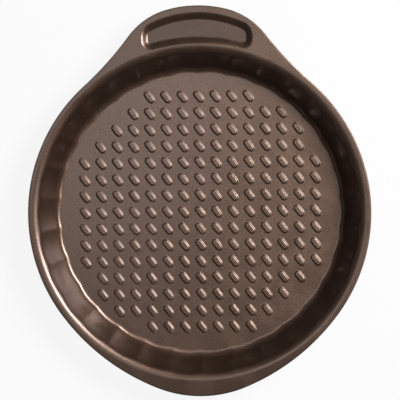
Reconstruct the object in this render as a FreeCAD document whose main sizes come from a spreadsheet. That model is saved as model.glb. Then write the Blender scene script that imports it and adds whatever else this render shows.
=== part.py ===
# Fluted tart tin: one sheet of coated steel, deep drawn and pressed, with two handles on its rim.
# Millimetres. +Z is up, the underside of the floor lies at z = 0 and the large handle points to +Y.
# The origin is the centre of the underside, on the axis of the round tin.

import FreeCAD, Part
import itertools
import math
import os
import re
import Sketcher

# Driving sizes in millimetres, and angles in degrees.
SIZES = {
    "sheet_thickness": 0.8,
    "rim_height": 33.0,
    "mouth_radius": 135.4,
    "wall_draft": 23.0,
    "flute_count": 30,
    "flute_radius": 52.0,
    "floor_corner_radius": 5.0,
    "shoulder_radius": 7.0,
    "shoulder_reach": 138.6,
    "rim_radius": 143.0,
    "handle_reach": 172.7,
    "handle_end_radius": 98.0,
    "handle_end_half_width": 24.0,
    "handle_corner_radius": 60.0,
    "handle_hollow_radius": 283.0,
    "tab_reach": 152.9,
    "tab_end_radius": 98.0,
    "tab_side_radius": 182.0,
    "recess_depth": 3.0,
    "recess_wall_slope": 45.0,
    "recess_inner_radius": 141.0,
    "recess_margin": 5.7,
    "recess_half_width": 46.5,
    "recess_inner_corner": 8.0,
    "recess_outer_corner": 12.0,
    "stud_pitch": 14.0,
    "stud_length": 11.4,
    "stud_width": 6.8,
    "stud_height": 1.0,
    "stud_turn": 52.0,
    "stud_field_radius": 114.0,
}

# Sizes of what lies hidden inside a form or beyond the sheet, and so of nothing on the finished tin.
CORE_INSET = "3.2"
FLUTE_DEPTH = "4"
SHOULDER_DEPTH = "10"
OVERSHOOT = "5"
CORE_OVERSHOOT = "8"
CLEARANCE = "0.15"
SWEEP_MARGIN = "1.3"

# Each bend is this many flat bands.
BEND_STEPS = 1
SHOULDER_WRAP = "60"

document = FreeCAD.newDocument("tart_tin")


def make_sheet():
    """Writes the driving sizes into a spreadsheet, one aliased number a row."""
    cells = document.addObject("Spreadsheet::Sheet", "Sizes")
    for row, (alias, value) in enumerate(SIZES.items(), start=1):
        cells.set(f"A{row}", alias)
        cells.set(f"B{row}", str(value))
        cells.setAlias(f"B{row}", alias)
    document.recompute()
    return cells


sheet = make_sheet()


def size(rule):
    """Works out a rule over the sheet's names, such as "rim_height - sheet_thickness"."""
    value = sheet.evalExpression(rule)
    return float(getattr(value, "Value", value))


def linked(rule):
    """Points the names in a rule at the sheet's cells, as an expression needs them."""
    return re.sub(r"[a-z_]+", lambda name: f"Sizes.{name[0]}" if name[0] in SIZES else name[0], rule)


def origin_feature(body, role):
    """Finds one of a body's own origin planes or axes."""
    return next(item for item in body.Origin.OriginFeatures if item.Role == role)


def add_sketch(body, name, plane, level="0"):
    """Puts an empty sketch on one of the body's origin planes, raised to a level."""
    sketch = body.newObject("Sketcher::SketchObject", name)
    sketch.AttachmentSupport = (origin_feature(body, plane), [""])
    sketch.MapMode = "FlatFace"
    sketch.setExpression("AttachmentOffset.Base.z", linked(level))
    return sketch


def bind(sketch, kind, where, rule):
    """Adds a sized constraint and binds it to a rule over the sheet."""
    index = sketch.addConstraint(Sketcher.Constraint(kind, *where, size(rule)))
    sketch.setExpression(f"Constraints[{index}]", linked(rule))


def place(sketch, geometry, vertex, across, up):
    """Ties one point of a sketch to two rules, measured from the sketch's origin."""
    bind(sketch, "DistanceX", (-1, 1, geometry, vertex), across)
    bind(sketch, "DistanceY", (-1, 1, geometry, vertex), up)


def draw_polygon(sketch, corners):
    """Draws a closed outline of straight edges. Each corner is two rules, across and up."""
    points = [FreeCAD.Vector(size(across), size(up), 0) for across, up in corners]
    edges = []
    for index, start in enumerate(points):
        end = points[(index + 1) % len(points)]
        edges.append(sketch.addGeometry(Part.LineSegment(start, end), False))
    for index, edge in enumerate(edges):
        following = edges[(index + 1) % len(edges)]
        sketch.addConstraint(Sketcher.Constraint("Coincident", edge, 2, following, 1))
        place(sketch, edge, 1, *corners[index])


def turn(body, name, kind, corners):
    """Turns an upright outline about the tin's axis."""
    sketch = add_sketch(body, f"{name}_outline", "XZ_Plane")
    draw_polygon(sketch, corners)
    feature = body.newObject(kind, name)
    feature.Profile = sketch
    feature.ReferenceAxis = (sketch, ["V_Axis"])
    feature.Angle = 360.0
    return feature


def wall(level, skin):
    """How far the flutes reach from the tin's axis; skin is how far outside the inner face."""
    return f"(mouth_radius - (rim_height - {level}) * tan(wall_draft) + {skin} / cos(wall_draft))"


def add_core(body, form, bottom, top, skin):
    """The round middle of a form, just inside the ridges of its flutes and longer than they are."""
    below = f"({bottom} - {CORE_OVERSHOOT})"
    above = f"({top} + {CORE_OVERSHOOT})"
    corners = [
        ("0", below),
        (f"{wall(below, skin)} - {CORE_INSET}", below),
        (f"{wall(above, skin)} - {CORE_INSET}", above),
        ("0", above),
    ]
    turn(body, f"{form}_core", "PartDesign::Revolution", corners)


def add_flutes(body, form, bottom, top, skin):
    """The flutes are cones with one tip, below the floor on the tin's axis, so all ridges are straight."""
    below = f"({bottom} - {OVERSHOOT})"
    above = f"({top} + {OVERSHOOT})"
    corners = [
        (f"{wall(below, skin)} - {FLUTE_DEPTH}", below),
        (wall(below, skin), below),
        (wall(above, skin), above),
        (f"{wall(above, skin)} - {FLUTE_DEPTH}", above),
    ]
    sketch = add_sketch(body, f"{form}_flute_outline", "XZ_Plane")
    draw_polygon(sketch, corners)
    tip = f"(rim_height - (mouth_radius + {skin} / cos(wall_draft)) / tan(wall_draft))"
    lean = "(wall_draft * 1 deg - atan(flute_radius * sin(wall_draft) / mouth_radius))"
    middle = f"({top} - {tip}) * tan{lean}"
    line = Part.LineSegment(FreeCAD.Vector(0, size(tip), 0), FreeCAD.Vector(size(middle), size(top), 0))
    axis = sketch.addGeometry(line, True)
    place(sketch, axis, 1, "0", tip)
    place(sketch, axis, 2, middle, top)
    flute = body.newObject("PartDesign::Revolution", f"{form}_flute")
    flute.Profile = sketch
    flute.ReferenceAxis = (sketch, ["Axis0"])
    half_sweep = "asin(mouth_radius * sin(180 / flute_count) / flute_radius)"
    flute.setExpression("Angle", linked(f"2 * {SWEEP_MARGIN} * {half_sweep}"))
    flute.Midplane = True
    pattern = body.newObject("PartDesign::PolarPattern", f"{form}_flutes")
    pattern.Originals = [flute]
    pattern.Axis = (origin_feature(body, "Z_Axis"), [""])
    pattern.Angle = 360.0
    pattern.setExpression("Occurrences", linked("flute_count"))
    body.Tip = pattern


def bend(centre, level, radius, wrap, side):
    """Points along a bend, from where it leaves a level face to where it meets the wall."""
    points = []
    for step in range(BEND_STEPS + 1):
        angle = f"({wrap} * {step} / {BEND_STEPS})"
        across = f"{centre} {side} {radius} * sin{angle}"
        up = f"{level} {'+' if side == '+' else '-'} {radius} * (1 - cos{angle})"
        points.append((across, up))
    return points


def cut_foot(body, form, bottom, skin):
    """Levels the form's foot and bends its corner, all in one turned cut that the flutes run into."""
    radius = f"(floor_corner_radius + {skin})"
    foot = f"{wall('sheet_thickness', '0')} + {CLEARANCE}"
    centre = f"({foot} - floor_corner_radius * tan((90 - wall_draft) / 2))"
    curve = bend(centre, bottom, radius, "(90 - wall_draft)", "+")
    outside = f"shoulder_reach + {OVERSHOOT}"
    below = f"{bottom} - 2 * {CORE_OVERSHOOT}"
    corners = [("0", below), (outside, below), (outside, curve[-1][1])]
    corners += curve[::-1]
    corners.append(("0", bottom))
    turn(body, f"{form}_foot", "PartDesign::Groove", corners)


def cut_crown(body, form, top):
    """Levels the form's top, where the flutes run past it."""
    outside = f"shoulder_reach + {OVERSHOOT}"
    above = f"{top} + 2 * {CORE_OVERSHOOT}"
    corners = [("0", top), (outside, top), (outside, above), ("0", above)]
    turn(body, f"{form}_crown", "PartDesign::Groove", corners)


def add_shoulder(body, form, top, skin):
    """The bend from wall to flange, one ring that the flutes run up into."""
    radius = f"(shoulder_radius - {skin})"
    curve = bend("shoulder_reach", top, radius, SHOULDER_WRAP, "-")
    inside = f"shoulder_reach - {SHOULDER_DEPTH}"
    corners = [("0", top)] + curve + [(inside, curve[-1][1]), ("0", curve[-1][1])]
    turn(body, f"{form}_shoulder", "PartDesign::Revolution", corners)


def stud_corners(across, up, shrink):
    """Four corners of one stud, turned to lie aslant on the grid."""
    turn_by = math.radians(size("stud_turn"))
    centre = FreeCAD.Vector(across, up, 0) * size("stud_pitch")
    corners = []
    for along, beside in ((-1, -1), (1, -1), (1, 1), (-1, 1)):
        run = along * size(f"stud_length / 2 - {shrink}")
        width = beside * size(f"stud_width / 2 - {shrink}")
        x = run * math.cos(turn_by) + width * math.sin(turn_by)
        y = width * math.cos(turn_by) - run * math.sin(turn_by)
        corners.append(centre + FreeCAD.Vector(x, y, 0))
    return corners


def draw_studs(sketch, shrink):
    """Draws every stud of the grid that lies whole within the stud field."""
    half_grid = int(size("stud_field_radius / stud_pitch"))
    steps = range(-half_grid, half_grid + 1)
    lines = []
    for across, up in itertools.product(steps, steps):
        if max(corner.Length for corner in stud_corners(across, up, "0")) > size("stud_field_radius"):
            continue
        corners = stud_corners(across, up, shrink)
        lines += [Part.LineSegment(corners[index - 1], corners[index]) for index in range(len(corners))]
    sketch.addGeometry(lines, False)


def press_studs(body):
    """The studs stand up from the floor and are hollow below, as the sheet is pressed up into them."""
    outlines = {
        "stud": ("PartDesign::Pad", "sheet_thickness", "0"),
        "stud_hollow": ("PartDesign::Pocket", "0", "sheet_thickness"),
    }
    for name, (kind, level, shrink) in outlines.items():
        sketch = add_sketch(body, f"{name}_outlines", "XY_Plane", level)
        draw_studs(sketch, shrink)
        feature = body.newObject(kind, f"{name}s")
        feature.Profile = sketch
        feature.Reversed = kind == "PartDesign::Pocket"
        feature.setExpression("Length", linked("stud_height"))
        feature.Refine = False


def meeting(first, first_radius, second, second_radius, side):
    """The point at one distance from each of two centres, on the given side of the tin."""
    way = second - first
    along = (first_radius**2 - second_radius**2 + way.Length**2) / (2 * way.Length)
    beside = math.sqrt(first_radius**2 - along**2)
    way.normalize()
    across = FreeCAD.Vector(-way.y, way.x, 0)
    points = [first + way * along + across * beside, first + way * along - across * beside]
    return max(points, key=lambda point: point.x * side)


def beyond(centre, other, radius):
    """The point on a circle that faces another centre, or faces away where the radius is negative."""
    return centre + (other - centre).normalize() * radius


def mirrored(point):
    return FreeCAD.Vector(-point.x, point.y, 0)


def draw_arcs(sketch, right, last):
    """Draws a closed outline of tangent arcs and lines, the right side first and then its mirror image.

    An edge is its centre (None for a line), start, end, whether it is hollow, and its radius rule.
    """
    edges = list(right) + [last]
    for centre, start, end, hollow, rule in reversed(right[1:]):
        middle = mirrored(centre) if centre else None
        edges.append((middle, mirrored(end), mirrored(start), hollow, rule))
    drawn = []
    for centre, start, end, hollow, rule in edges:
        if centre is None:
            drawn.append((sketch.addGeometry(Part.LineSegment(start, end), False), 1, 2))
            continue
        first, second = (end, start) if hollow else (start, end)
        angles = [math.atan2(point.y - centre.y, point.x - centre.x) for point in (first, second)]
        circle = Part.Circle(centre, FreeCAD.Vector(0, 0, 1), (start - centre).Length)
        edge = sketch.addGeometry(Part.ArcOfCircle(circle, *angles), False)
        drawn.append((edge, 2, 1) if hollow else (edge, 1, 2))
        bind(sketch, "Radius", (edge,), rule)
    for index, (edge, _, ending) in enumerate(drawn):
        following = drawn[(index + 1) % len(drawn)]
        sketch.addConstraint(Sketcher.Constraint("Tangent", edge, ending, following[0], following[1]))
    return [edge for edge, _, _ in drawn]


def rim_outline(sketch):
    """The flange's outline: a round rim that swells into a tab at the back and a handle at the front."""
    origin = FreeCAD.Vector(0, 0, 0)
    rim = size("rim_radius")
    tab = FreeCAD.Vector(0, size("tab_end_radius - tab_reach"), 0)
    end = FreeCAD.Vector(0, size("handle_reach - handle_end_radius"), 0)
    tab_side = size("tab_side_radius")
    side = meeting(origin, tab_side - rim, tab, tab_side - size("tab_end_radius"), -1)
    lean = math.asin(size("handle_end_half_width / handle_end_radius"))
    towards = FreeCAD.Vector(math.sin(lean), math.cos(lean), 0)
    corner = end + towards * size("handle_end_radius - handle_corner_radius")
    hollow_radius = size("handle_hollow_radius")
    hollow = meeting(origin, rim + hollow_radius, corner, hollow_radius + size("handle_corner_radius"), 1)
    joints = [
        beyond(tab, side, -size("tab_end_radius")),
        beyond(origin, side, -rim),
        beyond(origin, hollow, rim),
        beyond(corner, hollow, size("handle_corner_radius")),
        beyond(end, corner, size("handle_end_radius")),
    ]
    right = [
        (tab, mirrored(joints[0]), joints[0], False, "tab_end_radius"),
        (side, joints[0], joints[1], False, "tab_side_radius"),
        (origin, joints[1], joints[2], False, "rim_radius"),
        (hollow, joints[2], joints[3], True, "handle_hollow_radius"),
        (corner, joints[3], joints[4], False, "handle_corner_radius"),
    ]
    last = (end, joints[4], mirrored(joints[4]), False, "handle_end_radius")
    edges = draw_arcs(sketch, right, last)
    for edge in (edges[2], edges[8]):
        sketch.addConstraint(Sketcher.Constraint("Coincident", edge, 3, -1, 1))
    place(sketch, edges[0], 3, "0", "tab_end_radius - tab_reach")
    place(sketch, edges[5], 3, "0", "handle_reach - handle_end_radius")
    bind(sketch, "DistanceX", (-1, 1, edges[5], 1), "handle_end_half_width")
    bind(sketch, "DistanceX", (edges[5], 2, -1, 1), "handle_end_half_width")


def recess_outline(sketch, grow):
    """The handle's recess, which follows the rim on the inside and the handle's edge on the outside."""
    origin = FreeCAD.Vector(0, 0, 0)
    end = FreeCAD.Vector(0, size("handle_reach - handle_end_radius"), 0)
    half = f"(recess_half_width + {grow})"
    inner = f"(recess_inner_radius - {grow})"
    outer = f"(handle_end_radius - recess_margin + {grow})"
    near = f"(recess_inner_corner + {grow})"
    far = f"(recess_outer_corner + {grow})"
    near_across = size(f"{half} - {near}")
    near_centre = FreeCAD.Vector(near_across, math.sqrt(size(f"{inner} + {near}") ** 2 - near_across**2), 0)
    far_across = size(f"{half} - {far}")
    far_rise = math.sqrt(size(f"{outer} - {far}") ** 2 - far_across**2)
    far_centre = FreeCAD.Vector(far_across, end.y + far_rise, 0)
    joints = [
        beyond(origin, near_centre, size(inner)),
        FreeCAD.Vector(size(half), near_centre.y, 0),
        FreeCAD.Vector(size(half), far_centre.y, 0),
        beyond(end, far_centre, size(outer)),
    ]
    right = [
        (origin, mirrored(joints[0]), joints[0], True, inner),
        (near_centre, joints[0], joints[1], False, near),
        (None, joints[1], joints[2], False, None),
        (far_centre, joints[2], joints[3], False, far),
    ]
    last = (end, joints[3], mirrored(joints[3]), False, outer)
    edges = draw_arcs(sketch, right, last)
    sketch.addConstraint(Sketcher.Constraint("Coincident", edges[0], 3, -1, 1))
    place(sketch, edges[4], 3, "0", "handle_reach - handle_end_radius")
    bind(sketch, "DistanceX", (-1, 1, edges[2], 1), half)
    bind(sketch, "DistanceX", (edges[6], 1, -1, 1), half)
    for edge in (edges[2], edges[6]):
        sketch.addConstraint(Sketcher.Constraint("Vertical", edge))


def add_flange(body):
    """The flat rim with its two handles, one sheet thick."""
    sketch = add_sketch(body, "rim_outline", "XY_Plane", "rim_height - sheet_thickness")
    rim_outline(sketch)
    flange = body.newObject("PartDesign::Pad", "flange")
    flange.Profile = sketch
    flange.setExpression("Length", linked("sheet_thickness"))


def press_recess(body):
    """The recess in the large handle: a tray pressed down, then hollowed to the sheet's thickness."""
    slope = linked("-(90 - recess_wall_slope)")
    tray_sketch = add_sketch(body, "recess_tray_outline", "XY_Plane", "rim_height - sheet_thickness")
    recess_outline(tray_sketch, "(sheet_thickness * tan(recess_wall_slope / 2))")
    tray = body.newObject("PartDesign::Pad", "recess_tray")
    tray.Profile = tray_sketch
    tray.Reversed = True
    tray.setExpression("Length", linked("recess_depth"))
    tray.setExpression("TaperAngle", slope)
    recess_sketch = add_sketch(body, "recess_outline", "XY_Plane", "rim_height")
    recess_outline(recess_sketch, "0")
    recess = body.newObject("PartDesign::Pocket", "recess")
    recess.Profile = recess_sketch
    recess.setExpression("Length", linked("recess_depth"))
    recess.setExpression("TaperAngle", slope)


def fluted_form(body, form, skin):
    """The tin's inner face, or with a skin its outer face, as a solid form."""
    bottom = f"(sheet_thickness - {skin})"
    top = f"(rim_height - {skin})"
    add_core(body, form, bottom, top, skin)
    add_flutes(body, form, bottom, top, skin)
    cut_foot(body, form, bottom, skin)
    cut_crown(body, form, top)
    add_shoulder(body, form, top, skin)


hollow = document.addObject("PartDesign::Body", "hollow")
fluted_form(hollow, "hollow", "0")

tin = document.addObject("PartDesign::Body", "tart_tin")
tin.Label = "tart_tin"
fluted_form(tin, "outside", "sheet_thickness")
add_flange(tin)
pressing = tin.newObject("PartDesign::Boolean", "pressing")
pressing.setObjects([hollow])
pressing.Type = "Cut"
press_recess(tin)
press_studs(tin)
document.recompute()


def check(item):
    """Stops if a feature failed or a body has no sound shape."""
    if "Invalid" in item.State or "Error" in item.State:
        raise RuntimeError(f"{item.Name} failed: {item.State}")
    if item.TypeId == "PartDesign::Body" and (item.Shape.isNull() or not item.Shape.isValid()):
        raise RuntimeError(f"{item.Name} has no sound shape")


for item in document.Objects:
    check(item)

os.makedirs("parts", exist_ok=True)
tin.Shape.exportStep(f"parts/{tin.Label}.step")
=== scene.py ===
import functools
import itertools
import math

import bmesh
import bpy
from mathutils import Matrix, Vector


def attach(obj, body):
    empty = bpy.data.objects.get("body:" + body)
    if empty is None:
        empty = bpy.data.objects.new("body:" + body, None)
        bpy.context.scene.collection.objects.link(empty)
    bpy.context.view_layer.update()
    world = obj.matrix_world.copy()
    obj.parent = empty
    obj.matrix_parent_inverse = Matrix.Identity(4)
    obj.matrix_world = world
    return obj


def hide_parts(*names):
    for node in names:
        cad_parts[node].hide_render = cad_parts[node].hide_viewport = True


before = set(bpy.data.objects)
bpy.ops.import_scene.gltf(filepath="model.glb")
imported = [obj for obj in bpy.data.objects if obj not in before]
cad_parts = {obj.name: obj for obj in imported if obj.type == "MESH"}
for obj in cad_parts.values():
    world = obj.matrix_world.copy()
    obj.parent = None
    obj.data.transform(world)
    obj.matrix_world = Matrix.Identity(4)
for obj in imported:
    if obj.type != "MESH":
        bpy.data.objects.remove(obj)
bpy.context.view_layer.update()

# Sizes of the tin in millimetres and angles in degrees, as in the part's source.
MM = 0.001
SHEET_THICKNESS = 0.8
RIM_HEIGHT = 33.0
MOUTH_RADIUS = 135.4
WALL_DRAFT = 23.0
FLUTE_COUNT = 30
FLUTE_RADIUS = 52.0
RIM_RADIUS = 143.0
HANDLE_REACH = 172.7
HANDLE_END_RADIUS = 98.0
HANDLE_END_HALF_WIDTH = 24.0
HANDLE_CORNER_RADIUS = 60.0
HANDLE_HOLLOW_RADIUS = 283.0
TAB_REACH = 152.9
TAB_END_RADIUS = 98.0
TAB_SIDE_RADIUS = 182.0
RECESS_DEPTH = 3.0
RECESS_INNER_RADIUS = 141.0
RECESS_MARGIN = 5.7
RECESS_HALF_WIDTH = 46.5
RECESS_INNER_CORNER = 8.0
RECESS_OUTER_CORNER = 12.0
STUD_PITCH = 14.0
STUD_LENGTH = 11.4
STUD_WIDTH = 6.8
STUD_HEIGHT = 1.0
STUD_TURN = 52.0
STUD_FIELD_RADIUS = 114.0

# Bends and soft outlines fitted to the photograph, in millimetres and degrees.
FLOOR_REACH = 118.6
SHOULDER_RADIUS = 9.2
SHOULDER_REACH = 140.2
RIDGE_SOFTNESS = 0.5
CREASE_SOFTNESS = 0.8
RECESS_OUTER_BEND = 0.3
RECESS_INNER_BEND = 6.2
STUD_OUTER_BEND = 0.1
STUD_INNER_BEND = 1.5
STUD_SOFT_LENGTH = 12.0
STUD_SOFT_WIDTH = 6.2
EDGE_BEND_RUN = 1.6
EDGE_BEND_DROP = 0.15
EDGE_ROUNDING = 0.33
EDGE_ANGLE = 78.0

# What keeps the sheet just inside the CAD model's box, in millimetres.
SHEET_SLACK = 0.02
EDGE_INSET = 0.06

# How finely the bends are divided, and the narrow rings that keep level stretches level.
FLUTE_COLUMNS = 20
FOOT_STEPS = 6
WALL_STEPS = 5
SHOULDER_STEPS = 6
RECESS_STEPS = 12
STUD_STEPS = 4
EDGE_STEPS = 4
EDGE_SEGMENTS = 3
STUD_END_STEPS = 5
LEAST_ARC_STEPS = 2
ARC_STEP = 3.0
CORNER_STEP = 1.4
GUARD = 0.2
MERGE_DISTANCE = 0.01
ANGLE_DIGITS = 5


def ease(share):
    """Runs from 0 to 1 and starts and ends level, as a pressed bend does."""
    return share * share * (3 - 2 * share)


# The fluted wall.


def flute_reach(angle):
    """How far the mouth lies from the axis: shallow lobes that meet in soft ridges."""
    pitch = math.tau / FLUTE_COUNT
    off_middle = abs((angle + pitch / 2) % pitch - pitch / 2)
    to_ridge = math.hypot(pitch / 2 - off_middle, math.radians(RIDGE_SOFTNESS))
    turned = pitch / 2 - to_ridge
    lobe_centre = MOUTH_RADIUS - FLUTE_RADIUS
    beside = lobe_centre * math.sin(turned)
    return lobe_centre * math.cos(turned) + math.sqrt(FLUTE_RADIUS**2 - beside**2)


def foot_points(reach, slope):
    """The bend from floor to wall, as distances from the axis and heights."""
    corner = reach - (RIM_HEIGHT - SHEET_THICKNESS) * slope
    wrap = math.pi / 2 - math.atan(slope)
    floor_reach = FLOOR_REACH + reach - MOUTH_RADIUS
    radius = (corner - floor_reach) / math.tan(wrap / 2)
    points = []
    for step in range(FOOT_STEPS + 1):
        turned = wrap * step / FOOT_STEPS
        across = floor_reach + radius * math.sin(turned)
        points.append(Vector((across, SHEET_THICKNESS + radius * (1 - math.cos(turned)))))
    return points


def shoulder_point(turned):
    """A point of the bend from wall to flange, by how far the sheet has turned from level."""
    across = SHOULDER_REACH - SHOULDER_RADIUS * math.sin(turned)
    return Vector((across, RIM_HEIGHT - SHOULDER_RADIUS * (1 - math.cos(turned))))


def shoulder_turn(reach, slope):
    """Where on the shoulder's bend the wall runs into it."""
    lean = math.atan(slope)
    return math.asin(math.cos(lean) * ((SHOULDER_REACH - reach) / SHOULDER_RADIUS + slope)) - lean


def halfway(first, second):
    """The point in the middle between two others."""
    return first.lerp(second, 1 / 2)


@functools.lru_cache(maxsize=None)
def wall_section(angle):
    """The sheet's upper face from floor to flange in one direction from the axis."""
    reach = flute_reach(angle)
    slope = math.tan(math.radians(WALL_DRAFT)) * reach / MOUTH_RADIUS
    bend = foot_points(reach, slope)
    points = [bend[0] - Vector((GUARD, 0))] + bend
    turned = shoulder_turn(reach, slope)
    crease = shoulder_point(turned)
    foot = bend[-1]
    before = crease + (foot - crease).normalized() * CREASE_SOFTNESS
    for step in range(1, WALL_STEPS + 1):
        points.append(foot.lerp(before, step / WALL_STEPS))
    turned -= CREASE_SOFTNESS / SHOULDER_RADIUS
    after = shoulder_point(turned)
    points.append(halfway(halfway(before, crease), halfway(crease, after)))
    for step in range(SHOULDER_STEPS + 1):
        points.append(shoulder_point(turned * (1 - step / SHOULDER_STEPS)))
    points.append(Vector((SHOULDER_REACH + GUARD, RIM_HEIGHT)))
    return points


def around(vertex):
    """A corner's direction from the tin's axis."""
    return round(math.atan2(vertex.co.y, vertex.co.x), ANGLE_DIGITS)


def edges_of(corners):
    """The edges at some corners, each once and always in the same order."""
    return list(dict.fromkeys(edge for vertex in corners for edge in vertex.link_edges))


def extrude_ring(mesh, ring):
    """Extrudes a closed ring of edges in place and gives the new ring and its corners."""
    made = bmesh.ops.extrude_edge_only(mesh, edges=ring)["geom"]
    corners = {item for item in made if isinstance(item, bmesh.types.BMVert)}
    edges = [item for item in made if isinstance(item, bmesh.types.BMEdge)]
    return [edge for edge in edges if corners.issuperset(edge.verts)], corners


def add_wall(mesh):
    """The fluted wall with its two bends, extruded ring by ring from the floor's edge."""
    columns = FLUTE_COUNT * FLUTE_COLUMNS
    corners = bmesh.ops.create_circle(mesh, segments=columns, radius=FLOOR_REACH)["verts"]
    ring = edges_of(corners)
    for index in range(len(wall_section(0.0))):
        if index:
            ring, corners = extrude_ring(mesh, ring)
        for vertex in corners:
            angle = around(vertex)
            reach, height = wall_section(angle)[index]
            vertex.co = (reach * math.cos(angle), reach * math.sin(angle), height)


# Closed outlines of tangent arcs.


def meeting(first, first_radius, second, second_radius, side):
    """The point at one distance from each of two centres, on the given side of the tin."""
    way = second - first
    along = (first_radius**2 - second_radius**2 + way.length_squared) / (2 * way.length)
    beside = math.sqrt(first_radius**2 - along**2)
    way.normalize()
    across = Vector((-way.y, way.x)) * beside
    points = [first + way * along + across, first + way * along - across]
    return max(points, key=lambda point: point.x * side)


def heading(centre, target):
    """The direction from one point to another, as an angle."""
    return math.atan2(target.y - centre.y, target.x - centre.x)


def both_sides(right, ending):
    """Completes an outline from its right side. An arc is its centre, radius, first and last angle."""
    left = [
        (Vector((-centre.x, centre.y)), radius, math.pi - last, math.pi - first)
        for centre, radius, first, last in reversed(right)
    ]
    return right + [ending] + left


def rim_arcs():
    """The flange's outline: a round rim with a tab at the back and a handle at the front."""
    axis = Vector((0, 0))
    tab = Vector((0, TAB_END_RADIUS - TAB_REACH))
    side = meeting(axis, TAB_SIDE_RADIUS - RIM_RADIUS, tab, TAB_SIDE_RADIUS - TAB_END_RADIUS, -1)
    end = Vector((0, HANDLE_REACH - HANDLE_END_RADIUS))
    lean = math.asin(HANDLE_END_HALF_WIDTH / HANDLE_END_RADIUS)
    out = Vector((math.sin(lean), math.cos(lean)))
    corner = end + out * (HANDLE_END_RADIUS - HANDLE_CORNER_RADIUS)
    hollow = meeting(
        axis,
        RIM_RADIUS + HANDLE_HOLLOW_RADIUS,
        corner,
        HANDLE_HOLLOW_RADIUS + HANDLE_CORNER_RADIUS,
        1,
    )
    down = -math.pi / 2
    tab_turn = heading(side, tab)
    side_turn = heading(side, axis)
    hollow_first = heading(hollow, axis) % math.tau
    hollow_last = heading(hollow, corner) % math.tau
    right = [
        (tab, TAB_END_RADIUS, down, tab_turn),
        (side, TAB_SIDE_RADIUS, tab_turn, side_turn),
        (axis, RIM_RADIUS, side_turn, heading(axis, hollow)),
        (hollow, -HANDLE_HOLLOW_RADIUS, hollow_first, hollow_last),
        (corner, HANDLE_CORNER_RADIUS, heading(corner, hollow), math.pi / 2 - lean),
    ]
    return both_sides(right, (end, HANDLE_END_RADIUS, math.pi / 2 - lean, math.pi / 2 + lean))


def recess_arcs():
    """The recess's outline, along the rim on the inside and the handle's edge on the outside."""
    axis = Vector((0, 0))
    end = Vector((0, HANDLE_REACH - HANDLE_END_RADIUS))
    outer = HANDLE_END_RADIUS - RECESS_MARGIN
    near_x = RECESS_HALF_WIDTH - RECESS_INNER_CORNER
    near_y = math.sqrt((RECESS_INNER_RADIUS + RECESS_INNER_CORNER) ** 2 - near_x**2)
    near = Vector((near_x, near_y))
    far_x = RECESS_HALF_WIDTH - RECESS_OUTER_CORNER
    far = Vector((far_x, end.y + math.sqrt((outer - RECESS_OUTER_CORNER) ** 2 - far_x**2)))
    up = math.pi / 2
    right = [
        (axis, -RECESS_INNER_RADIUS, up, heading(axis, near)),
        (near, RECESS_INNER_CORNER, heading(near, axis), 0.0),
        (far, RECESS_OUTER_CORNER, 0.0, heading(end, far)),
    ]
    return both_sides(right, (end, outer, heading(end, far), math.pi - heading(end, far)))


def stud_arcs():
    """One stud's outline: two round ends with straight sides between them."""
    straight = (STUD_SOFT_LENGTH - STUD_SOFT_WIDTH) / 2
    up = math.pi / 2
    return [
        (Vector((straight, 0)), STUD_SOFT_WIDTH / 2, -up, up),
        (Vector((-straight, 0)), STUD_SOFT_WIDTH / 2, up, 3 * up),
    ]


def arc_start(arc, grow):
    """Where a grown arc starts. A hollow arc has a negative radius."""
    centre, radius, first, _ = arc
    reach = abs(radius + grow)
    return centre + Vector((math.cos(first), math.sin(first))) * reach


def draw_loop(mesh, arcs, steps, grow, height):
    """Spins each arc of an outline, grown outwards, and joins them into one closed loop."""
    before = set(mesh.verts)
    ends = []
    for arc, count in zip(arcs, steps):
        centre, _, first, last = arc
        start = mesh.verts.new(arc_start(arc, grow).to_3d() + Vector((0, 0, height)))
        spun = bmesh.ops.spin(
            mesh,
            geom=[start],
            cent=centre.to_3d(),
            axis=(0, 0, 1),
            angle=last - first,
            steps=count,
            use_duplicate=False,
        )["geom_last"]
        ending = next(item for item in spun if isinstance(item, bmesh.types.BMVert))
        ends.append((start, ending))
    for index, (_, ending) in enumerate(ends):
        following = ends[(index + 1) % len(ends)][0]
        mesh.edges.new((ending, following))
    corners = [vertex for vertex in mesh.verts if vertex not in before]
    bmesh.ops.remove_doubles(mesh, verts=corners, dist=MERGE_DISTANCE)
    return edges_of(vertex for vertex in mesh.verts if vertex not in before)


def arc_steps(arcs, spacing):
    """How many steps each arc takes, so that its corners lie about one spacing apart."""
    counts = []
    for _, radius, first, last in arcs:
        counts.append(max(LEAST_ARC_STEPS, round(abs(radius * (last - first)) / spacing)))
    return counts


def outward(vertex, ring, middle):
    """The direction in plan that points out of a ring at one of its corners."""
    near = [edge.other_vert(vertex).co for edge in vertex.link_edges if edge in ring]
    along = (near[1] - near[0]).to_2d()
    out = Vector((along.y, -along.x)).normalized()
    return out if out.dot(vertex.co.to_2d() - middle) > 0 else -out


def add_bands(mesh, arcs, steps, middle, profile):
    """Extrudes an outline ring by ring. The profile gives how far each is grown, and its height."""
    grown, height = profile[0]
    ring = draw_loop(mesh, arcs, steps, grown, height)
    for grow, height in profile[1:]:
        ring, corners = extrude_ring(mesh, ring)
        around_ring = set(ring)
        moves = [(vertex, outward(vertex, around_ring, middle)) for vertex in corners]
        for vertex, out in moves:
            vertex.co.xy += out * (grow - grown)
            vertex.co.z = height
        grown = grow
    return ring


def add_edge_band(mesh):
    """The flange's margin, which bends down a little at the cut edge."""
    arcs = rim_arcs()
    profile = [(-EDGE_BEND_RUN - GUARD, RIM_HEIGHT)]
    for step in range(EDGE_STEPS + 1):
        share = step / EDGE_STEPS
        grow = EDGE_BEND_RUN * (share - 1) - EDGE_INSET
        profile.append((grow, RIM_HEIGHT - EDGE_BEND_DROP * share**2))
    add_bands(mesh, arcs, arc_steps(arcs, ARC_STEP), Vector((0, 0)), profile)


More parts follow.
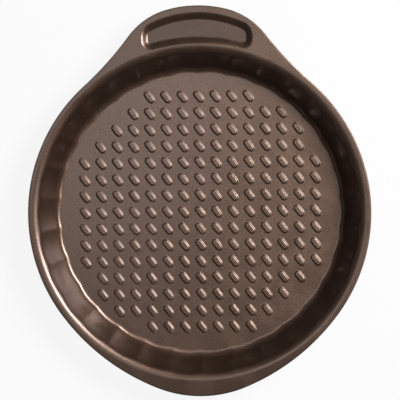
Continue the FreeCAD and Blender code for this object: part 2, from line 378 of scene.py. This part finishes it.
def pressed_profile(level, rise, outer, inner, steps):
    """Rings across a pressed wall, from just outside its outline to just inside its flat."""
    profile = [(outer + GUARD, level)]
    for step in range(steps + 1):
        share = step / steps
        profile.append((outer - (outer + inner) * share, level + rise * ease(share)))
    profile.append((-inner - GUARD, level + rise))
    return profile


def add_recess(mesh):
    """The thumb recess: a soft wall down to a flat floor."""
    arcs = recess_arcs()
    profile = pressed_profile(
        RIM_HEIGHT, -RECESS_DEPTH, RECESS_OUTER_BEND, RECESS_INNER_BEND, RECESS_STEPS
    )
    middle = Vector((0, (RECESS_INNER_RADIUS + HANDLE_REACH - RECESS_MARGIN) / 2))
    last = add_bands(mesh, arcs, arc_steps(arcs, CORNER_STEP), middle, profile)
    bmesh.ops.triangle_fill(mesh, use_beauty=True, use_dissolve=False, edges=last)


# The studs.


def in_field(across, up):
    """Whether the stud at one place of the square grid lies whole within the round field."""
    turned = math.radians(STUD_TURN)
    centre = Vector((across, up)) * STUD_PITCH
    for along, beside in itertools.product((-1, 1), repeat=2):
        run = along * STUD_LENGTH / 2
        width = beside * STUD_WIDTH / 2
        x = run * math.cos(turned) + width * math.sin(turned)
        y = width * math.cos(turned) - run * math.sin(turned)
        if (centre + Vector((x, y))).length > STUD_FIELD_RADIUS:
            return False
    return True


def repeat_row(mesh, step, count):
    """Repeats all that the mesh holds to both sides, a step at a time."""
    pattern = mesh.verts[:] + mesh.edges[:] + mesh.faces[:]
    for index in range(-count, count + 1):
        if index:
            copy = bmesh.ops.duplicate(mesh, geom=pattern)["geom"]
            corners = [item for item in copy if isinstance(item, bmesh.types.BMVert)]
            bmesh.ops.translate(mesh, verts=corners, vec=step * index)


def add_stud(mesh):
    """One stud at the tin's axis, turned aslant."""
    profile = pressed_profile(
        SHEET_THICKNESS, STUD_HEIGHT, STUD_OUTER_BEND, STUD_INNER_BEND, STUD_STEPS
    )
    arcs = stud_arcs()
    top = add_bands(mesh, arcs, [STUD_END_STEPS] * len(arcs), Vector((0, 0)), profile)
    bmesh.ops.edgeloop_fill(mesh, edges=top)
    turn = Matrix.Rotation(-math.radians(STUD_TURN), 3, "Z")
    bmesh.ops.rotate(mesh, verts=mesh.verts[:], cent=(0, 0, 0), matrix=turn)


def make_studs():
    """Repeats one stud over the square grid and keeps those in the round field."""
    mesh = bmesh.new()
    add_stud(mesh)
    half_grid = int(STUD_FIELD_RADIUS / STUD_PITCH)
    repeat_row(mesh, Vector((STUD_PITCH, 0, 0)), half_grid)
    repeat_row(mesh, Vector((0, STUD_PITCH, 0)), half_grid)
    outside = []
    for vertex in mesh.verts:
        across, up = (round(distance / STUD_PITCH) for distance in vertex.co.xy)
        if not in_field(across, up):
            outside.append(vertex)
    bmesh.ops.delete(mesh, geom=outside, context="VERTS")
    studs = bpy.data.meshes.new("studs")
    mesh.to_mesh(studs)
    mesh.free()
    return studs


def fill_level(mesh, level):
    """Fills the flat stretch of sheet between all open edges at one height."""
    edges = [
        edge
        for edge in mesh.edges
        if len(edge.link_faces) == 1
        and all(abs(vertex.co.z - level) < MERGE_DISTANCE for vertex in edge.verts)
    ]
    bmesh.ops.triangle_fill(mesh, use_beauty=True, use_dissolve=False, edges=edges)


def face_upwards(mesh):
    """Turns all faces the same way, and so that their front is above."""
    bmesh.ops.recalc_face_normals(mesh, faces=mesh.faces)
    if sum(face.normal.z * face.calc_area() for face in mesh.faces) < 0:
        bmesh.ops.reverse_faces(mesh, faces=mesh.faces)


def add_thickness(tin):
    """Gives the sheet its thickness, downwards, and rounds its cut edge."""
    thickness = tin.modifiers.new("sheet_thickness", "SOLIDIFY")
    thickness.thickness = (SHEET_THICKNESS - SHEET_SLACK) * MM
    thickness.offset = -1
    thickness.use_even_offset = True
    rounding = tin.modifiers.new("rounded_edge", "BEVEL")
    rounding.width = EDGE_ROUNDING * MM
    rounding.segments = EDGE_SEGMENTS
    rounding.limit_method = "ANGLE"
    rounding.angle_limit = math.radians(EDGE_ANGLE)


def make_sheet():
    """The whole pressed sheet. Its upper face is drawn, and the thickness goes down from it."""
    mesh = bmesh.new()
    add_edge_band(mesh)
    add_recess(mesh)
    add_wall(mesh)
    studs = make_studs()
    mesh.from_mesh(studs)
    bpy.data.meshes.remove(studs)
    fill_level(mesh, SHEET_THICKNESS)
    fill_level(mesh, RIM_HEIGHT)
    face_upwards(mesh)
    bmesh.ops.scale(mesh, vec=(MM, MM, MM), verts=mesh.verts)
    data = bpy.data.meshes.new("pressed_sheet")
    mesh.to_mesh(data)
    mesh.free()
    data.shade_smooth()
    tin = bpy.data.objects.new("pressed_sheet", data)
    bpy.context.scene.collection.objects.link(tin)
    add_thickness(tin)
    return tin


# The coating. Heights and depths are in millimetres, and noise scales are per metre.

FLOOR_BROWN = (0.18, 0.108, 0.076, 1.0)
# Painted shade: the wall and the flange get darker copies of the floor's brown.
SHADED_WALL_BROWN = (0.085, 0.048, 0.033, 1.0)
SHADED_FLANGE_BROWN = (0.145, 0.086, 0.06, 1.0)
# Painted highlight: the stud tops get a paler brown, in patches.
STUD_HIGHLIGHT_BROWN = (0.3, 0.2, 0.155, 1.0)
# Heights over which the painted shade on the wall and on the flange fades in.
WALL_SHADE_BLEND = (3.0, 8.0)
FLANGE_SHADE_BLEND = (29.0, 32.0)
STUD_TOP_HEIGHT = SHEET_THICKNESS + STUD_HEIGHT
STUD_HIGHLIGHT_FADE = (0.15, 0.7)
STUD_HIGHLIGHT_SHARES = (0.15, 0.0)
METALLIC = 0.8
SMOOTH_TO_DULL = (0.35, 0.45)
COAT_WEIGHT = 1.0
COAT_ROUGHNESS = 0.22
GRAIN_SCALE = 1000.0
GRAIN_DETAIL = 3.0
GRAIN_HEIGHT = 0.13
GRAIN_SPREAD = (0.3, 0.7)
GRAIN_SHADES = (0.78, 1.22)
PATCH_SCALE = 45.0
PATCH_DETAIL = 2.0
PATCH_SPREAD = (0.35, 0.65)
WHOLE = (0.0, 1.0)


def add_node(tree, kind, **settings):
    """Adds a node with the given properties."""
    node = tree.nodes.new(kind)
    for name, value in settings.items():
        setattr(node, name, value)
    return node


def add_range(tree, value, source, target):
    """Turns one range of a value smoothly into another."""
    node = add_node(tree, "ShaderNodeMapRange", interpolation_type="SMOOTHSTEP")
    node.inputs["From Min"].default_value, node.inputs["From Max"].default_value = source
    node.inputs["To Min"].default_value, node.inputs["To Max"].default_value = target
    tree.links.new(value, node.inputs["Value"])
    return node.outputs["Result"]


def add_heights(tree, height, levels, target):
    """Turns one range of heights, given in millimetres, smoothly into another range."""
    return add_range(tree, height, [level * MM for level in levels], target)


def add_noise(tree, place, scale, detail):
    """Noise at one scale, fixed to the piece."""
    node = add_node(tree, "ShaderNodeTexNoise")
    node.inputs["Scale"].default_value = scale
    node.inputs["Detail"].default_value = detail
    tree.links.new(place, node.inputs["Vector"])
    return node.outputs["Fac"]


def add_mix(tree, share, first, second):
    """Mixes two colours, each of them a socket or a fixed colour."""
    node = add_node(tree, "ShaderNodeMix", data_type="RGBA")
    tree.links.new(share, node.inputs["Factor"])
    for name, colour in (("A", first), ("B", second)):
        if isinstance(colour, bpy.types.NodeSocket):
            tree.links.new(colour, node.inputs[name])
        else:
            node.inputs[name].default_value = colour
    return node.outputs["Result"]


def add_stud_highlight(tree, height, patches):
    """A mask of the stud tops, in patches, where a paler brown is painted as a highlight."""
    above = add_node(tree, "ShaderNodeMath", operation="SUBTRACT")
    above.inputs[1].default_value = STUD_TOP_HEIGHT * MM
    tree.links.new(height, above.inputs[0])
    apart = add_node(tree, "ShaderNodeMath", operation="ABSOLUTE")
    tree.links.new(above.outputs["Value"], apart.inputs[0])
    tops = add_heights(tree, apart.outputs["Value"], STUD_HIGHLIGHT_FADE, STUD_HIGHLIGHT_SHARES)
    highlighted = add_node(tree, "ShaderNodeMath", operation="MULTIPLY")
    tree.links.new(tops, highlighted.inputs[0])
    tree.links.new(patches, highlighted.inputs[1])
    return highlighted.outputs["Value"]


def add_browns(tree, height, grain, patches):
    """The coating's colour: painted shade makes it darker on the wall and the flange than on the
    floor, a painted highlight makes it paler on the stud tops, and the grain speckles it.
    """
    wall = add_heights(tree, height, WALL_SHADE_BLEND, WHOLE)
    flange = add_heights(tree, height, FLANGE_SHADE_BLEND, WHOLE)
    # Painted shade: darker brown on the wall and on the flange.
    colour = add_mix(tree, wall, FLOOR_BROWN, SHADED_WALL_BROWN)
    colour = add_mix(tree, flange, colour, SHADED_FLANGE_BROWN)
    # Painted highlight: paler brown on the stud tops.
    colour = add_mix(tree, add_stud_highlight(tree, height, patches), colour, STUD_HIGHLIGHT_BROWN)
    speckled = add_node(tree, "ShaderNodeVectorMath", operation="SCALE")
    tree.links.new(colour, speckled.inputs["Vector"])
    shades = add_range(tree, grain, GRAIN_SPREAD, GRAIN_SHADES)
    tree.links.new(shades, speckled.inputs["Scale"])
    return speckled.outputs["Vector"]


def make_coating():
    """Dark brown satin coating with a fine grain, a little duller in some patches."""
    material = bpy.data.materials.new("brown_non_stick_coating")
    material.use_nodes = True
    tree = material.node_tree
    links = tree.links
    place = add_node(tree, "ShaderNodeTexCoord").outputs["Object"]
    parts = add_node(tree, "ShaderNodeSeparateXYZ")
    links.new(place, parts.inputs["Vector"])
    grain = add_noise(tree, place, GRAIN_SCALE, GRAIN_DETAIL)
    cloud = add_noise(tree, place, PATCH_SCALE, PATCH_DETAIL)
    patches = add_range(tree, cloud, PATCH_SPREAD, WHOLE)
    bump = add_node(tree, "ShaderNodeBump")
    bump.inputs["Distance"].default_value = GRAIN_HEIGHT * MM
    links.new(grain, bump.inputs["Height"])
    shader = tree.nodes["Principled BSDF"]
    shader.inputs["Metallic"].default_value = METALLIC
    shader.inputs["Coat Weight"].default_value = COAT_WEIGHT
    shader.inputs["Coat Roughness"].default_value = COAT_ROUGHNESS
    colour = add_browns(tree, parts.outputs["Z"], grain, patches)
    links.new(colour, shader.inputs["Base Color"])
    links.new(add_range(tree, patches, WHOLE, SMOOTH_TO_DULL), shader.inputs["Roughness"])
    links.new(bump.outputs["Normal"], shader.inputs["Normal"])
    return material


# The camera.

CAMERA_PLACE = Vector((33.0, 51.0, 1407.0)) * MM
CAMERA_TARGET = Vector((0.75, 11.1, RIM_HEIGHT)) * MM
CAMERA_TURN = 0.8
FRAME_WIDTH = 332.6 * MM
SENSOR = 36.0


def add_camera():
    """Looks almost straight down, from a little to the right and towards the handle."""
    data = bpy.data.cameras.new("camera")
    camera = bpy.data.objects.new("camera", data)
    bpy.context.scene.collection.objects.link(camera)
    back = CAMERA_PLACE - CAMERA_TARGET
    distance = back.length
    back.normalize()
    turned = math.radians(CAMERA_TURN)
    right = Vector((math.sin(turned), math.cos(turned), 0)).cross(back).normalized()
    above = back.cross(right)
    turn = Matrix((right, above, back)).transposed().to_4x4()
    camera.matrix_world = Matrix.Translation(CAMERA_PLACE) @ turn
    data.sensor_width = SENSOR
    data.lens = SENSOR * distance / FRAME_WIDTH
    bpy.context.scene.camera = camera


# The studio, in metres and watts.

FLOOR_HALF_WIDTH = 4.0
FLOOR_WHITE = (0.8, 0.8, 0.8, 1.0)
FLOOR_ROUGHNESS = 0.9
FLOOR_GLOW_SHARE = 0.9
WHITE = (1.0, 1.0, 1.0, 1.0)
SURROUNDINGS_STRENGTH = 0.04
KEY_PLACE = Vector((0.85, 0.46, 1.15))
KEY_SIZE = 0.6
KEY_POWER = 25.0
TOP_PLACE = Vector((-0.3, 0.22, 1.95))
TOP_SIZE = 0.7
TOP_POWER = 2.2


def make_floor_white():
    """Matt white that the camera sees as nearly pure white, with the tin's shadow on it."""
    material = bpy.data.materials.new("studio_white")
    material.use_nodes = True
    tree = material.node_tree
    shader = tree.nodes["Principled BSDF"]
    shader.inputs["Base Color"].default_value = FLOOR_WHITE
    shader.inputs["Roughness"].default_value = FLOOR_ROUGHNESS
    glow = add_node(tree, "ShaderNodeEmission")
    glow.inputs["Color"].default_value = WHITE
    path = add_node(tree, "ShaderNodeLightPath")
    share = add_node(tree, "ShaderNodeMath", operation="MULTIPLY")
    share.inputs[1].default_value = FLOOR_GLOW_SHARE
    mix = add_node(tree, "ShaderNodeMixShader")
    tree.links.new(path.outputs["Is Camera Ray"], share.inputs[0])
    tree.links.new(share.outputs["Value"], mix.inputs["Fac"])
    tree.links.new(shader.outputs["BSDF"], mix.inputs[1])
    tree.links.new(glow.outputs["Emission"], mix.inputs[2])
    tree.links.new(mix.outputs["Shader"], tree.nodes["Material Output"].inputs["Surface"])
    return material


def add_floor():
    """A plain white floor that the tin stands on."""
    mesh = bmesh.new()
    bmesh.ops.create_grid(mesh, x_segments=1, y_segments=1, size=FLOOR_HALF_WIDTH)
    data = bpy.data.meshes.new("studio_floor")
    mesh.to_mesh(data)
    mesh.free()
    data.materials.append(make_floor_white())
    floor = bpy.data.objects.new("studio_floor", data)
    bpy.context.scene.collection.objects.link(floor)


def add_softbox(name, place, size, power):
    """A soft square lamp that faces the middle of the tin."""
    data = bpy.data.lights.new(name, "AREA")
    data.shape = "SQUARE"
    data.size = size
    data.energy = power
    lamp = bpy.data.objects.new(name, data)
    bpy.context.scene.collection.objects.link(lamp)
    lamp.location = place
    lamp.rotation_mode = "QUATERNION"
    lamp.rotation_quaternion = place.to_track_quat("Z", "Y")


def add_world():
    """Surroundings that the camera sees as white and that light the tin only a little."""
    world = bpy.data.worlds.new("studio")
    bpy.context.scene.world = world
    world.use_nodes = True
    tree = world.node_tree
    faint = tree.nodes["Background"]
    faint.inputs["Color"].default_value = WHITE
    faint.inputs["Strength"].default_value = SURROUNDINGS_STRENGTH
    shown = add_node(tree, "ShaderNodeBackground")
    shown.inputs["Color"].default_value = WHITE
    path = add_node(tree, "ShaderNodeLightPath")
    mix = add_node(tree, "ShaderNodeMixShader")
    tree.links.new(path.outputs["Is Camera Ray"], mix.inputs["Fac"])
    tree.links.new(faint.outputs["Background"], mix.inputs[1])
    tree.links.new(shown.outputs["Background"], mix.inputs[2])
    tree.links.new(mix.outputs["Shader"], tree.nodes["World Output"].inputs["Surface"])


tin = make_sheet()
tin.data.materials.append(make_coating())
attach(tin, "root")
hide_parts("tart_tin")

add_camera()
add_floor()
add_softbox("key_softbox", KEY_PLACE, KEY_SIZE, KEY_POWER)
add_softbox("top_softbox", TOP_PLACE, TOP_SIZE, TOP_POWER)
add_world()
bpy.context.scene.view_settings.view_transform = "Standard"
